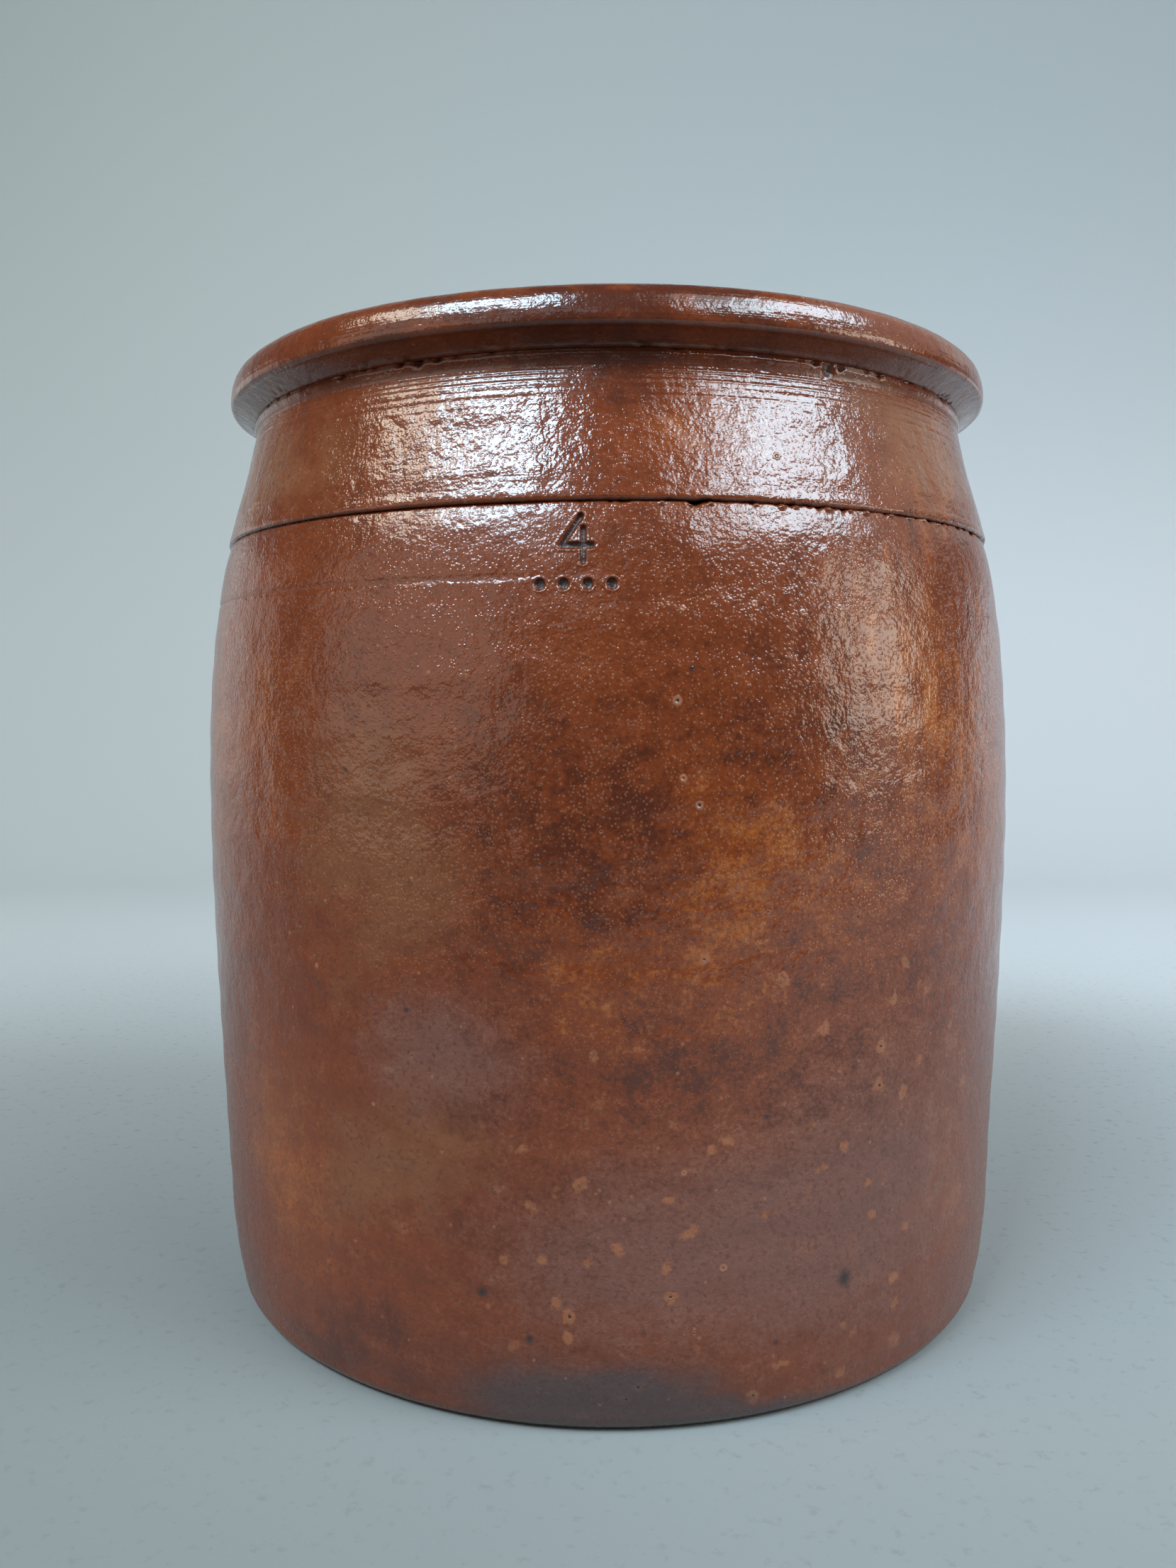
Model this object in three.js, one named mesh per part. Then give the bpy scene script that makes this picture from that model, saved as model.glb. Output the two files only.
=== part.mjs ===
// A stoneware storage crock: a swelling wall on a flat floor, a grooved shoulder, a short neck and a thick
// rolled rim. It is built as the potter builds it, from sections of clay that are seated on one another.
// Millimetres, +Z up, origin at the middle of the underside.

import * as THREE from 'three';

// Outer shape. Radii are given at the belly, and as steps in from it.
const BELLY_RADIUS = 95;
const FOOT_INSET = 5;
const HEEL_INSET = 2.7;
const SHOULDER_INSET = 5.4;
const NECK_INSET = 12.1;
const FOOT_ROUND = 4;
const HEEL_HEIGHT = 26;
const BELLY_DROP = 62.5; // from the shoulder groove down to the widest place

// Lean of the outer wall, in millimetres of radius gained for each millimetre of height.
const FOOT_LEAN = 0.24;
const HEEL_LEAN = 0.035;
const SHOULDER_LEAN = -0.225;
const NECK_LEAN = -0.14;

// Heights of the sections.
const WALL_HEIGHT = 170.5;
const COLLAR_HEIGHT = 28;
const ROLL_HEIGHT = 11;

// Wall and floor.
const WALL_THICKNESS = 8.5;
const FLOOR_THICKNESS = 11;
const FLANGE_THICKNESS = 7;
const FLANGE_WIDTH = 9.8;
const FOOT_LAND = 1.7; // flat ring of the wall beside the floor, on the underside
const CORNER_HEIGHT = 9; // rounded inside corner between floor and wall

// Seams between the sections.
const GROOVE_BEVEL = 1;
const SHOULDER_TONGUE = 3;
const RIM_TONGUE = 4;
const FIT_GAP = 0.3;

// Rim.
const SILL_HEIGHT = 2.5;
const SILL_STEP = 1;
const ROLL_OVERHANG = 5.7;
const ROLL_UNDERCUT = 2;
const ROLL_ROUND = 3.2;

// How finely the round shapes are cut into faces.
const FACETS = 64;
const HEEL_STEPS = 3;
const BELLY_STEPS = 4;
const SHOULDER_STEPS = 6;
const INSIDE_STEPS = 9;
const COLLAR_STEPS = 5;
const ARC_STEPS = 3;

const NECK_RADIUS = BELLY_RADIUS - NECK_INSET;
const BELLY_HEIGHT = WALL_HEIGHT - BELLY_DROP;
const COLLAR_TOP = WALL_HEIGHT + COLLAR_HEIGHT;

// The outer wall from the foot rounding to the neck, as stations of height, radius and lean.
const STATIONS = [
  { z: FOOT_ROUND, r: BELLY_RADIUS - FOOT_INSET, lean: FOOT_LEAN },
  { z: HEEL_HEIGHT, r: BELLY_RADIUS - HEEL_INSET, lean: HEEL_LEAN },
  { z: BELLY_HEIGHT, r: BELLY_RADIUS, lean: 0 },
  { z: WALL_HEIGHT, r: BELLY_RADIUS - SHOULDER_INSET, lean: SHOULDER_LEAN },
  { z: COLLAR_TOP - SILL_HEIGHT, r: NECK_RADIUS, lean: NECK_LEAN },
];

// Radius of the outer wall at a height: a cubic between the two stations around it, and straight past the ends.
function outerRadius(z) {
  const first = STATIONS[0];
  const last = STATIONS[STATIONS.length - 1];
  if (z <= first.z) return first.r;
  if (z >= last.z) return last.r;
  const upper = STATIONS.findIndex((station) => station.z > z);
  const a = STATIONS[upper - 1];
  const b = STATIONS[upper];
  const rise = b.z - a.z;
  const t = (z - a.z) / rise;
  const fromA = (1 + 2 * t) * (1 - t) ** 2 * a.r + t * (1 - t) ** 2 * rise * a.lean;
  const fromB = t ** 2 * (3 - 2 * t) * b.r + t ** 2 * (t - 1) * rise * b.lean;
  return fromA + fromB;
}

const innerRadius = (z) => outerRadius(z) - WALL_THICKNESS;

// Points up or down a wall between two heights, ends included.
function wallPoints(radiusAt, fromZ, toZ, steps) {
  return Array.from({ length: steps + 1 }, (_, i) => {
    const z = fromZ + ((toZ - fromZ) * i) / steps;
    return [radiusAt(z), z];
  });
}

// Points on a quarter of an ellipse around a centre, from one angle in degrees to another.
function arcPoints(centreR, centreZ, semiR, semiZ, fromDeg, toDeg) {
  return Array.from({ length: ARC_STEPS + 1 }, (_, i) => {
    const angle = THREE.MathUtils.degToRad(fromDeg + ((toDeg - fromDeg) * i) / ARC_STEPS);
    return [centreR + semiR * Math.cos(angle), centreZ + semiZ * Math.sin(angle)];
  });
}

// The tongue on a section's top edge stands in the middle third of its wall.
function tongue(seatZ) {
  const middle = (outerRadius(seatZ) + innerRadius(seatZ)) / 2;
  return { inner: middle - WALL_THICKNESS / 6, outer: middle + WALL_THICKNESS / 6 };
}

// Revolves a section round the +Z axis. The points run outwards underneath, up the outside and down the inside.
function turned(name, points, material) {
  const profile = points.map(([r, z]) => new THREE.Vector2(r, z));
  const geometry = new THREE.LatheGeometry(profile, FACETS);
  geometry.rotateX(Math.PI / 2);
  const mesh = new THREE.Mesh(geometry, material);
  mesh.name = name;
  return mesh;
}

const glaze = (color) => new THREE.MeshStandardMaterial({ color, roughness: 0.28, metalness: 0 });

const footEdge = BELLY_RADIUS - FOOT_INSET - FOOT_ROUND;
const flangeRadius = footEdge - FOOT_LAND - FIT_GAP;
const floorRadius = flangeRadius - FLANGE_WIDTH;

// The floor: a stepped disc. Its flange carries the wall, and its raised middle is the inside of the floor.
function baseDisc() {
  const points = [
    [0, 0],
    [flangeRadius, 0],
    [flangeRadius, FLANGE_THICKNESS],
    [floorRadius, FLANGE_THICKNESS],
    [floorRadius, FLOOR_THICKNESS],
    [0, FLOOR_THICKNESS],
  ];
  const bareClay = new THREE.MeshStandardMaterial({ color: 0x9a6a4c, roughness: 0.8, metalness: 0 });
  return turned('base_disc', points, bareClay);
}

// The wall: its skirt hides the floor's edge, and its top edge is bevelled for the groove and has the tongue.
function barrelWall() {
  const skirt = flangeRadius + FIT_GAP;
  const toe = floorRadius + FIT_GAP;
  const cornerTop = FLOOR_THICKNESS + CORNER_HEIGHT;
  const cornerWidth = innerRadius(cornerTop) - toe;
  const bevelZ = WALL_HEIGHT - GROOVE_BEVEL;
  const joint = tongue(WALL_HEIGHT);
  const tongueTop = WALL_HEIGHT + SHOULDER_TONGUE;
  const points = [
    [toe, FLANGE_THICKNESS],
    [skirt, FLANGE_THICKNESS],
    [skirt, 0],
    ...arcPoints(footEdge, FOOT_ROUND, FOOT_ROUND, FOOT_ROUND, -90, 0),
    ...wallPoints(outerRadius, FOOT_ROUND, HEEL_HEIGHT, HEEL_STEPS).slice(1),
    ...wallPoints(outerRadius, HEEL_HEIGHT, BELLY_HEIGHT, BELLY_STEPS).slice(1),
    ...wallPoints(outerRadius, BELLY_HEIGHT, bevelZ, SHOULDER_STEPS).slice(1),
    [outerRadius(WALL_HEIGHT) - GROOVE_BEVEL, WALL_HEIGHT],
    [joint.outer, WALL_HEIGHT],
    [joint.outer, tongueTop],
    [joint.inner, tongueTop],
    [joint.inner, WALL_HEIGHT],
    ...wallPoints(innerRadius, WALL_HEIGHT, cornerTop, INSIDE_STEPS),
    ...arcPoints(toe, cornerTop, cornerWidth, CORNER_HEIGHT, 0, -90).slice(1),
    [toe, FLANGE_THICKNESS],
  ];
  return turned('barrel_wall', points, glaze(0x7a3d22));
}

// The neck: it sits over the wall's tongue, sweeps in, and ends in a small sill under the rim.
function neckCollar() {
  const joint = tongue(WALL_HEIGHT);
  const slotTop = WALL_HEIGHT + SHOULDER_TONGUE + FIT_GAP;
  const bevelZ = WALL_HEIGHT + GROOVE_BEVEL;
  const sillFoot = COLLAR_TOP - SILL_HEIGHT;
  const sillRadius = NECK_RADIUS + SILL_STEP;
  const rimJoint = tongue(COLLAR_TOP);
  const tongueTop = COLLAR_TOP + RIM_TONGUE;
  const points = [
    [innerRadius(WALL_HEIGHT), WALL_HEIGHT],
    [joint.inner - FIT_GAP, WALL_HEIGHT],
    [joint.inner - FIT_GAP, slotTop],
    [joint.outer + FIT_GAP, slotTop],
    [joint.outer + FIT_GAP, WALL_HEIGHT],
    [outerRadius(WALL_HEIGHT) - GROOVE_BEVEL, WALL_HEIGHT],
    ...wallPoints(outerRadius, bevelZ, sillFoot, COLLAR_STEPS),
    [sillRadius, COLLAR_TOP - SILL_STEP],
    [sillRadius, COLLAR_TOP],
    [rimJoint.outer, COLLAR_TOP],
    [rimJoint.outer, tongueTop],
    [rimJoint.inner, tongueTop],
    [rimJoint.inner, COLLAR_TOP],
    ...wallPoints(innerRadius, COLLAR_TOP, WALL_HEIGHT, COLLAR_STEPS),
  ];
  return turned('neck_collar', points, glaze(0x743a21));
}

// The rim: a thick roll that is slotted over the neck's tongue and undercut outside, with rounded edges.
function rimRoll() {
  const joint = tongue(COLLAR_TOP);
  const slotTop = COLLAR_TOP + RIM_TONGUE + FIT_GAP;
  const mouth = innerRadius(COLLAR_TOP);
  const outside = NECK_RADIUS + ROLL_OVERHANG;
  const top = COLLAR_TOP + ROLL_HEIGHT;
  const lip = COLLAR_TOP + ROLL_UNDERCUT;
  const points = [
    [mouth, COLLAR_TOP],
    [joint.inner - FIT_GAP, COLLAR_TOP],
    [joint.inner - FIT_GAP, slotTop],
    [joint.outer + FIT_GAP, slotTop],
    [joint.outer + FIT_GAP, COLLAR_TOP],
    [NECK_RADIUS + SILL_STEP, COLLAR_TOP],
    ...arcPoints(outside - ROLL_ROUND, lip + ROLL_ROUND, ROLL_ROUND, ROLL_ROUND, -90, 0),
    ...arcPoints(outside - ROLL_ROUND, top - ROLL_ROUND, ROLL_ROUND, ROLL_ROUND, 0, 90),
    ...arcPoints(mouth + ROLL_ROUND, top - ROLL_ROUND, ROLL_ROUND, ROLL_ROUND, 90, 180),
    [mouth, COLLAR_TOP],
  ];
  return turned('rim_roll', points, glaze(0x6e3620));
}

const crock = new THREE.Group();
crock.name = 'stoneware_crock';
crock.add(baseDisc(), barrelWall(), neckCollar(), rimRoll());

export default crock;
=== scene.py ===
import math

import bpy
from mathutils import Matrix, Vector, noise


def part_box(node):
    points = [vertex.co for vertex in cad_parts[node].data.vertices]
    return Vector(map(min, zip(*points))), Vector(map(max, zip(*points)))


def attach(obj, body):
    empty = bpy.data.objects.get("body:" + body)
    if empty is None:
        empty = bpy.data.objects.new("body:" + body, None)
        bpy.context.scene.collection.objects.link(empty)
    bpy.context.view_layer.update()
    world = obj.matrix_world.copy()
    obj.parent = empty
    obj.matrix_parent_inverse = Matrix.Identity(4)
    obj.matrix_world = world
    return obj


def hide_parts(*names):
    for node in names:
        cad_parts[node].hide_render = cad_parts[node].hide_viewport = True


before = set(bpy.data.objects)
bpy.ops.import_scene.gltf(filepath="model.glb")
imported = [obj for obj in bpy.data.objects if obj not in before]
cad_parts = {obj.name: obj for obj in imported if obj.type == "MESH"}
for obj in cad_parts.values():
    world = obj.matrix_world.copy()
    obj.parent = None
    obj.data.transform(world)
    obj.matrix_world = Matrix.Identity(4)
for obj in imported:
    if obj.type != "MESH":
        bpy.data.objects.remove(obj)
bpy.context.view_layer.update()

# The view: the crock is seen from in front and close by, from a little over half its height, so its sides
# draw together towards the foot and its rim is seen from below.
FRAME_HEIGHT_PX = 2212
FOCAL_PX = 1760
SENSOR_MM = 36
EYE_AT = (0, -0.3111, 0.1349)
EYE_TILT = math.radians(86.27)
EYE_TURN = math.radians(0.845)
EYE_ROLL = math.radians(-0.217)

bpy.ops.object.select_all(action="DESELECT")
bpy.ops.object.camera_add(location=EYE_AT)
camera = bpy.context.object
camera.data.lens = SENSOR_MM * FOCAL_PX / FRAME_HEIGHT_PX
eye = Matrix.Rotation(EYE_TURN, 3, "Z") @ Matrix.Rotation(EYE_TILT, 3, "X")
eye = eye @ Matrix.Rotation(EYE_ROLL, 3, "Z")
camera.rotation_euler = eye.to_euler()
bpy.context.scene.camera = camera
bpy.context.scene.view_settings.view_transform = "Standard"


# The stage: a pale grey-blue board that ends a little way in front of the crock and curves up behind it, with
# two large soft window lights high in front, left and right, weaker fill at the sides, and a dim room beyond.
SWEEP_WIDTH = 5.0
SWEEP_FRONT = -0.50
SWEEP_BACK = 1.1
SWEEP_HEIGHT = 2.4
SWEEP_BEND = 0.5
BEND_FACETS = 24
CLOUD_SIZE = 0.35
SIDE_REACH = 0.55
BOARD_RUN = (-0.20, 0.51)
WALL_RUN = (1.15, 1.95)
SPECK_SIZE = 0.0032
SPECK_RUN = (0.5, 0.2)
SPECK_STRENGTH = 0.30
GLARE_ACROSS = (-0.15, 0.35)
GLARE_ALONG = (-0.10, -0.24)
NEAR_LEFT = (0.124, 0.132, 0.125, 1)
NEAR_RIGHT = (0.236, 0.256, 0.248, 1)
BACK_LEFT = (0.510, 0.525, 0.515, 1)
BACK_RIGHT = (0.600, 0.615, 0.635, 1)
TOP_LEFT = (0.450, 0.470, 0.450, 1)
TOP_RIGHT = (0.400, 0.435, 0.445, 1)
GLARE = (0.34, 0.34, 0.34, 1)


class Wire:
    """A shader socket. Arithmetic on it adds Math nodes, and node() adds any other node to its tree."""

    def __init__(self, tree, socket=None):
        self.tree = tree
        self.socket = socket

    def node(self, kind, settings=None, inputs=None, output=0):
        made = self.tree.nodes.new("ShaderNode" + kind)
        for name, value in (settings or {}).items():
            setattr(made, name, value)
        for name, value in (inputs or {}).items():
            if isinstance(value, Wire):
                self.tree.links.new(value.socket, made.inputs[name])
            else:
                made.inputs[name].default_value = value
        return Wire(self.tree, made.outputs[output])

    def math(self, operation, first, second=0.0):
        return self.node("Math", {"operation": operation}, {0: first, 1: second})

    def vector(self, operation, first, second=(0, 0, 0), output=0):
        return self.node("VectorMath", {"operation": operation}, {0: first, 1: second}, output)

    def step(self, low, high):
        """0 at or below low, 1 at or above high, with a soft run between. low may be the higher one."""
        limits = {"Value": self, "From Min": low, "From Max": high}
        return self.node("MapRange", {"interpolation_type": "SMOOTHSTEP"}, limits)

    def mix(self, first, second):
        """One colour turning to another as this value goes from 0 to 1."""
        return self.node("Mix", {"data_type": "RGBA"}, {0: self, 6: first, 7: second}, 2)

    def grain(self, size, detail=1.0, rough=0.5, at=None):
        """Noise from 0 to 1 whose lumps are about size metres across, on Object coordinates or on at."""
        place = at or self.place()
        settings = {"Vector": place, "Scale": 1 / size, "Detail": detail, "Roughness": rough}
        return self.node("TexNoise", None, settings)

    def place(self):
        return self.node("TexCoord", None, None, "Object")

    def __add__(self, other):
        return self.math("ADD", self, other)

    def __radd__(self, other):
        return self.math("ADD", self, other)

    def __sub__(self, other):
        return self.math("SUBTRACT", self, other)

    def __rsub__(self, other):
        return self.math("SUBTRACT", other, self)

    def __mul__(self, other):
        return self.math("MULTIPLY", self, other)

    def __rmul__(self, other):
        return self.math("MULTIPLY", self, other)


def new_finish(name):
    """A material with its Principled shader, and a Wire that adds nodes to it."""
    material = bpy.data.materials.new(name)
    material.use_nodes = True
    tree = material.node_tree
    return material, tree.nodes["Principled BSDF"], Wire(tree)


def wire_up(shader, wire, socket_name):
    wire.tree.links.new(wire.socket, shader.inputs[socket_name])


bpy.ops.mesh.primitive_plane_add(size=1, location=(0, 0, 0))
sweep = bpy.context.object
sweep.name = "paper_sweep"
bpy.ops.object.mode_set(mode="EDIT")
bpy.ops.transform.resize(value=(SWEEP_WIDTH, SWEEP_BACK - SWEEP_FRONT, 1))
bpy.ops.transform.translate(value=(0, (SWEEP_BACK + SWEEP_FRONT) / 2, 0))
bpy.ops.mesh.select_mode(type="EDGE")
bpy.ops.mesh.select_all(action="DESELECT")
bpy.ops.object.mode_set(mode="OBJECT")
for edge in sweep.data.edges:
    edge.select = all(sweep.data.vertices[i].co.y > SWEEP_BACK - 0.01 for i in edge.vertices)
bpy.ops.object.mode_set(mode="EDIT")
bpy.ops.mesh.extrude_region_move(TRANSFORM_OT_translate={"value": (0, 0, SWEEP_HEIGHT)})
bpy.ops.object.mode_set(mode="OBJECT")
for edge in sweep.data.edges:
    ends = [sweep.data.vertices[i].co for i in edge.vertices]
    edge.select = all(end.y > SWEEP_BACK - 0.01 and end.z < 0.01 for end in ends)
bpy.ops.object.mode_set(mode="EDIT")
bpy.ops.mesh.bevel(offset=SWEEP_BEND, segments=BEND_FACETS, affect="EDGES")
bpy.ops.object.mode_set(mode="OBJECT")
bpy.ops.object.shade_smooth()

paper, paper_shader, wire = new_finish("pale_paper")
across = wire.node("SeparateXYZ", None, {0: wire.place()}, 0)
along = wire.node("SeparateXYZ", None, {0: wire.place()}, 1)
along = along + wire.node("SeparateXYZ", None, {0: wire.place()}, 2)
cloud = wire.grain(CLOUD_SIZE, 2.0) - 0.5
# The board's tone is painted: darker in front and on the left, lighter behind and to the right, and a little
# darker again at the top. This is painted shade and light from the room.
side = (across + cloud * 0.15).step(-SIDE_REACH, SIDE_REACH)
near = side.mix(NEAR_LEFT, NEAR_RIGHT)
back = side.mix(BACK_LEFT, BACK_RIGHT)
painted_light_tone = (along + cloud * 0.1 + side * 0.05).step(*BOARD_RUN).mix(near, back)
painted_light_tone = along.step(*WALL_RUN).mix(painted_light_tone, side.mix(TOP_LEFT, TOP_RIGHT))
speck = wire.grain(SPECK_SIZE, 3.0, 0.7).step(0.56, 0.70) * along.step(*SPECK_RUN) * SPECK_STRENGTH
wire_up(paper_shader, speck.mix(painted_light_tone, NEAR_LEFT), "Base Color")
glossy = wire.node("LightPath", None, None, "Is Glossy Ray")
bright = glossy * across.step(*GLARE_ACROSS) * along.step(*GLARE_ALONG)
wire_up(paper_shader, bright.mix((0, 0, 0, 1), GLARE), "Emission Color")
paper_shader.inputs["Emission Strength"].default_value = 1.0
paper_shader.inputs["Roughness"].default_value = 0.75
sweep.data.materials.append(paper)


LIGHT_AIM = Vector((0, 0, 0.15))


def window_light(name, azimuth, elevation, distance, width, height, radiance, colour):
    """A soft light box seen from the crock in that direction, in degrees, and turned to face it."""
    level = math.cos(math.radians(elevation))
    way = Vector((
        math.sin(math.radians(azimuth)) * level,
        -math.cos(math.radians(azimuth)) * level,
        math.sin(math.radians(elevation)),
    ))
    bpy.ops.object.light_add(type="AREA", location=LIGHT_AIM + distance * way)
    light = bpy.context.object
    light.name = name
    light.rotation_euler = way.to_track_quat("Z", "Y").to_euler()
    light.data.shape = "RECTANGLE"
    light.data.size = width
    light.data.size_y = height
    light.data.color = colour
    light.data.energy = radiance * math.pi * width * height


window_light("window_left", -36, 45.5, 1.3, 0.62, 0.34, 25.0, (0.62, 0.84, 1.0))
window_light("curtain_left", -47, 44, 1.32, 0.95, 0.70, 1.2, (0.98, 0.98, 1.0))
window_light("lamp_left", -68, 41, 1.3, 0.46, 0.28, 8.5, (1.0, 0.88, 0.70))
window_light("pane_middle", -10, 26, 1.3, 0.38, 0.30, 1.1, (0.80, 0.95, 1.0))
window_light("pane_right", 41, 36, 1.3, 0.42, 0.26, 11.0, (0.68, 0.87, 1.0))
window_light("window_right", 64, 40, 1.3, 0.56, 0.46, 12.5, (0.66, 0.86, 1.0))
window_light("curtain_right", 50, 44, 1.32, 0.95, 0.70, 2.0, (1.0, 0.98, 0.96))
window_light("fill_left", -53, 10, 1.4, 1.45, 0.6, 1.0, (1.0, 0.95, 0.86))
window_light("fill_right", 75, 9, 1.4, 0.66, 0.40, 5.0, (1.0, 0.92, 0.80))
window_light("side_right", 108, 38, 1.4, 1.5, 1.0, 0.50, (1.0, 0.95, 0.88))
window_light("edge_left", -122, 5, 1.4, 0.9, 0.54, 0.60, (1.0, 0.96, 0.92))
window_light("edge_right", 130, 1, 1.4, 0.8, 0.34, 0.70, (1.0, 0.98, 0.98))

ROOM = (0.075, 0.080, 0.085, 1)
BEYOND = (0.42, 0.46, 0.48, 1)
world = bpy.data.worlds.new("dim_room")
world.use_nodes = True
room = Wire(world.node_tree)
camera_ray = room.node("LightPath", None, None, "Is Camera Ray")
wire_up(world.node_tree.nodes["Background"], camera_ray.mix(ROOM, BEYOND), "Color")
bpy.context.scene.world = world


# The floor: a stepped disc of clay, cut from the wheel with a wire, which leaves curved drag marks under it.
# It is bare underneath and thinly glazed inside, where the potter's fingers left a shallow spiral.
FLANGE_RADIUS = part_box("base_disc")[1][0]
FLOOR_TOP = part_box("base_disc")[1][2]
FLANGE_TOP = 0.007
FLOOR_RADIUS = 0.0742
FLOOR_COLUMNS = 224
FLOOR_STEP = 0.0021
SPIRAL_PITCH = 0.011
SPIRAL_DEPTH = 0.0004
GLAZE_EDGE = (0.0075, 0.0095)
DRAG_CENTRE = (0.05, 0.16, 0)
BARE_SHADE = (0.17, 0.085, 0.05, 1)
BARE_PALE = (0.42, 0.25, 0.155, 1)
INSIDE_DARK = (0.075, 0.026, 0.013, 1)
INSIDE_WARM = (0.14, 0.05, 0.022, 1)


def steps_between(start, end, size):
    """Evenly spaced numbers from start to end, both included, about size apart."""
    count = max(1, round(abs(end - start) / size))
    return [start + (end - start) * i / count for i in range(count + 1)]


def turned(name, outline, columns):
    """Draws a closed outline of (radius, height) points and turns it round the crock's axis."""
    bpy.ops.object.select_all(action="DESELECT")
    bpy.ops.mesh.primitive_plane_add(size=0.001, location=(0, 0, 0))
    piece = bpy.context.object
    piece.name = name
    bpy.ops.object.mode_set(mode="EDIT")
    bpy.ops.mesh.select_mode(type="VERT")
    bpy.ops.mesh.select_all(action="SELECT")
    bpy.ops.mesh.merge(type="CENTER")
    at = (0.0, 0.0)
    for number, (radius, height) in enumerate(outline):
        move = {"value": (radius - at[0], 0, height - at[1])}
        if number:
            bpy.ops.mesh.extrude_vertices_move(TRANSFORM_OT_translate=move)
        else:
            bpy.ops.transform.translate(**move)
        at = (radius, height)
    bpy.ops.mesh.select_all(action="SELECT")
    bpy.ops.mesh.remove_doubles(threshold=1e-6)
    bpy.ops.object.mode_set(mode="OBJECT")
    screw = piece.modifiers.new("wheel", "SCREW")
    screw.axis = "Z"
    screw.angle = math.tau
    screw.steps = columns
    screw.render_steps = columns
    screw.use_merge_vertices = True
    screw.merge_threshold = 1e-6
    bpy.ops.object.modifier_apply(modifier=screw.name)
    bpy.ops.object.mode_set(mode="EDIT")
    bpy.ops.mesh.select_all(action="SELECT")
    bpy.ops.mesh.remove_doubles(threshold=1e-6)
    bpy.ops.mesh.normals_make_consistent(inside=False)
    bpy.ops.object.mode_set(mode="OBJECT")
    bpy.ops.object.shade_smooth()
    return piece


floor_outline = [(r, 0.0) for r in steps_between(0, FLANGE_RADIUS, FLOOR_STEP)]
floor_outline += [(FLANGE_RADIUS, FLANGE_TOP), (FLOOR_RADIUS, FLANGE_TOP)]
floor_outline += [(r, FLOOR_TOP) for r in steps_between(FLOOR_RADIUS, 0, FLOOR_STEP)]
clay_floor = turned("clay_floor", floor_outline, FLOOR_COLUMNS)
for vertex in clay_floor.data.vertices:
    x, y, z = vertex.co
    if z > FLOOR_TOP - 1e-5:
        reach = math.hypot(x, y)
        wave = math.cos(math.tau * reach / SPIRAL_PITCH - math.atan2(x, -y))
        fade = min(1, (FLOOR_RADIUS - reach) / SPIRAL_PITCH)
        vertex.co.z -= SPIRAL_DEPTH * fade * (0.5 + 0.5 * wave)

bare_clay, clay_shader, wire = new_finish("bare_and_glazed_clay")
place = wire.place()
height = wire.node("SeparateXYZ", None, {0: place}, 2)
glazed = height.step(*GLAZE_EDGE)
drag = wire.node("TexWave", {"wave_type": "RINGS", "rings_direction": "Z"}, {
    "Vector": wire.vector("ADD", place, DRAG_CENTRE), "Scale": 90.0, "Distortion": 2.5, "Detail": 2.0,
})
cloud = wire.grain(0.022, 4.0, 0.6)
sand = wire.grain(0.0011, 2.0)
bare = (cloud + (drag - 0.5) * 0.25 + (sand - 0.5) * 0.5).step(0.2, 0.85).mix(BARE_SHADE, BARE_PALE)
inside = cloud.step(0.3, 0.7).mix(INSIDE_DARK, INSIDE_WARM)
wire_up(clay_shader, glazed.mix(bare, inside), "Base Color")
wire_up(clay_shader, 0.85 - glazed * 0.55, "Roughness")
relief = (drag * 0.6 + sand * 0.6) * (1 - glazed) + wire.grain(0.0013) * glazed * 0.5
clay_bump = wire.node("Bump", None, {"Strength": 0.8, "Distance": 0.0002, "Height": relief})
wire_up(clay_shader, clay_bump, "Normal")
clay_floor.data.materials.append(bare_clay)
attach(clay_floor, "root")
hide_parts("base_disc")


# The wall: thrown stoneware that swells from a rounded foot to the belly and turns in to the shoulder
# groove. Salt thrown into the kiln glazed it, so it is glossy, pebbled like orange peel, and flashed
# orange and brown.
BELLY_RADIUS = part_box("barrel_wall")[1][0]
GROOVE_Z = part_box("neck_collar")[0][2]
CREASE_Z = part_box("rim_roll")[0][2]
FOOT_ROUND = 0.004
FOOT_LAND = 0.0017
FIT_GAP = 0.0003
WALL = 0.0085
CORNER_HEIGHT = 0.009
SILL_HEIGHT = 0.0025
SHOULDER_TONGUE = 0.003
FOOT_INSET = 0.0050
HEEL_INSET = 0.0027
HEEL_Z = 0.026
BELLY_DROP = 0.0625
SHOULDER_INSET = 0.0054
NECK_INSET = 0.0121
STATIONS = [
    (FOOT_ROUND, BELLY_RADIUS - FOOT_INSET, 0.24),
    (HEEL_Z, BELLY_RADIUS - HEEL_INSET, 0.035),
    (GROOVE_Z - BELLY_DROP, BELLY_RADIUS, 0.0),
    (GROOVE_Z, BELLY_RADIUS - SHOULDER_INSET, -0.225),
    (CREASE_Z - SILL_HEIGHT, BELLY_RADIUS - NECK_INSET, -0.14),
]
WALL_COLUMNS = 448
FINE_FROM = 0.152
COARSE_STEP = 0.0016
FINE_STEP = 0.00062
INSIDE_STEP = 0.006
OUTER_RINGS = (0.011, 0.00012)
INNER_RINGS = (0.016, 0.0005)


def outer_radius(z):
    """The outer wall's radius at a height: a cubic between the stations of height, radius and lean."""
    z = min(max(z, STATIONS[0][0]), STATIONS[-1][0])
    for (z0, r0, lean0), (z1, r1, lean1) in zip(STATIONS, STATIONS[1:]):
        if z <= z1:
            rise = z1 - z0
            t = (z - z0) / rise
            lower = (1 + 2 * t) * (1 - t) ** 2 * r0 + t * (1 - t) ** 2 * rise * lean0
            upper = t * t * (3 - 2 * t) * r1 + t * t * (t - 1) * rise * lean1
            return lower + upper


def finger_rings(z, pitch, depth):
    """How far the potter's fingers pressed in at a height: uneven rings about pitch apart."""
    drift = noise.noise(Vector((0, 0, z / (3 * pitch))))
    return depth * (0.5 + 0.5 * math.sin(math.tau * z / pitch + 4 * drift))


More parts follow.
